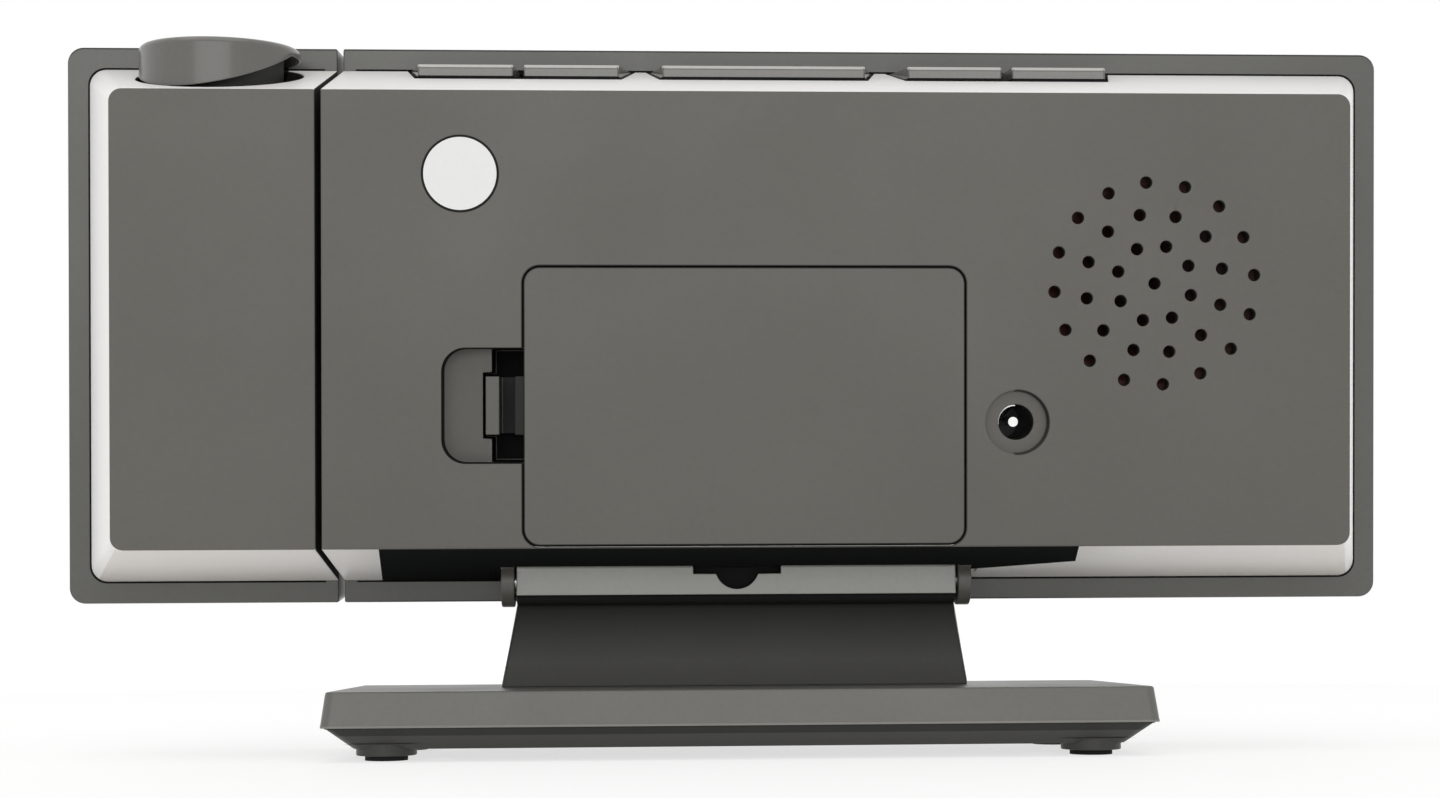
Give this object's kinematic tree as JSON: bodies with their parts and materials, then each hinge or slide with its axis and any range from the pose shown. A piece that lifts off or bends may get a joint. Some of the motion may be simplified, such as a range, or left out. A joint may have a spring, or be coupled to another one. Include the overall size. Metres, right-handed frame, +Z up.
{
  "type": "projection alarm clock",
  "caption": "Wide desk alarm clock on a tilting stand, with top keys, a rear battery door, speaker grille and inlet, and a swivelling projector with a focus knob.",
  "frame": {"origin": "on the table, under the middle of the clock's overall outline", "axes": "+Z up, +X along the clock's width towards the projector, +Y from the display towards the rear panel"},
  "size_m": [0.185, 0.0442, 0.0992],
  "materials": {
    "case_plastic": "satin",
    "knob_plastic": "gloss",
    "dark_plastic": "satin",
    "black_plastic": "matte",
    "window_plastic": "gloss",
    "segment_plastic": "diffusing",
    "board_laminate": "solder mask",
    "steel": "plated",
    "spring_steel": "nickel plated",
    "rubber": "matte",
    "paper_label": "paper",
    "speaker_paper": "pressed paper",
    "clear_plastic": "clear",
    "slide_glass": "gloss"
  },
  "bodies": {
    "stand": {"stand_base": "case_plastic", "base_bottom_cover": "dark_plastic", "base_weight": "steel", "rubber_feet": "rubber", "base_screws": "steel", "neck_screws": "steel", "stand_neck": "dark_plastic"},
    "clock_case": {"front_frame": "case_plastic", "display_window": "window_plastic", "display_light_box": "black_plastic", "display_digits": "segment_plastic", "main_board": "board_laminate", "board_screws": "steel", "key_board": "board_laminate", "key_board_screws": "steel", "key_switches": "black_plastic", "rear_housing": "case_plastic", "hinge_pins": "steel", "battery_contacts": "spring_steel", "battery_springs": "spring_steel", "speaker_basket": "dark_plastic", "speaker_cone": "speaker_paper", "power_inlet": "black_plastic", "inlet_pin": "steel", "inspection_sticker": "paper_label"},
    "mode_button": {"mode_button": "case_plastic"},
    "alarm_button": {"alarm_button": "case_plastic"},
    "snooze_button": {"snooze_button": "case_plastic"},
    "up_button": {"up_button": "case_plastic"},
    "down_button": {"down_button": "case_plastic"},
    "battery_door": {"battery_door": "case_plastic"},
    "projector": {"projector_frame": "case_plastic", "projector_window": "window_plastic", "projector_housing": "case_plastic", "swivel_shaft": "dark_plastic", "shaft_washer": "steel", "shaft_clip": "steel", "optics_tube": "black_plastic", "optics_screws": "steel", "lamp_board": "board_laminate", "projector_lamp": "clear_plastic", "condenser_lens": "clear_plastic", "slide_display": "slide_glass"},
    "focus": {"focus_knob": "knob_plastic"},
    "lens": {"lens_barrel": "black_plastic", "projection_lens": "clear_plastic"}
  },
  "joints": [
    {"name": "case_tilt", "type": "hinge", "parent": "stand", "child": "clock_case", "pos_m": [-0.0005, -0.00052, 0.0234], "axis": [-1, 0, 0], "range_deg": [-7, 10]},
    {"name": "projector_swivel", "type": "hinge", "parent": "clock_case", "child": "projector", "pos_m": [0.0547, 0.00295, 0.0588], "axis": [1, 0, 0], "range_deg": [-90, 90]},
    {"name": "focus_turn", "type": "hinge", "parent": "projector", "child": "focus", "pos_m": [0.0697, 0.01062, 0.09557], "axis": [0, 0.1253, 0.9921], "range_deg": [-61, 61]},
    {"name": "lens_travel", "type": "slide", "parent": "projector", "child": "lens", "axis": [0, 0.1253, 0.9921], "range_m": [-0.0008, 0.0008]},
    {"name": "door_swing", "type": "hinge", "parent": "clock_case", "child": "battery_door", "pos_m": [-0.0301, 0.01693, 0.04584], "axis": [0, 0.1253, 0.9921], "range_deg": [0, 80]},
    {"name": "mode_press", "type": "slide", "parent": "clock_case", "child": "mode_button", "axis": [0, -0.1253, -0.9921], "range_m": [0, 0.0007], "stiffness_N_per_m": 500, "springref_m": -0.0006},
    {"name": "alarm_press", "type": "slide", "parent": "clock_case", "child": "alarm_button", "axis": [0, -0.1253, -0.9921], "range_m": [0, 0.0007], "stiffness_N_per_m": 500, "springref_m": -0.0006},
    {"name": "snooze_press", "type": "slide", "parent": "clock_case", "child": "snooze_button", "axis": [0, -0.1253, -0.9921], "range_m": [0, 0.0007], "stiffness_N_per_m": 500, "springref_m": -0.0006},
    {"name": "up_press", "type": "slide", "parent": "clock_case", "child": "up_button", "axis": [0, -0.1253, -0.9921], "range_m": [0, 0.0007], "stiffness_N_per_m": 500, "springref_m": -0.0006},
    {"name": "down_press", "type": "slide", "parent": "clock_case", "child": "down_button", "axis": [0, -0.1253, -0.9921], "range_m": [0, 0.0007], "stiffness_N_per_m": 500, "springref_m": -0.0006}
  ],
  "couplings": [
    {"joint": "focus_turn", "follows": "lens_travel", "rad_per_m": 1309}
  ]
}
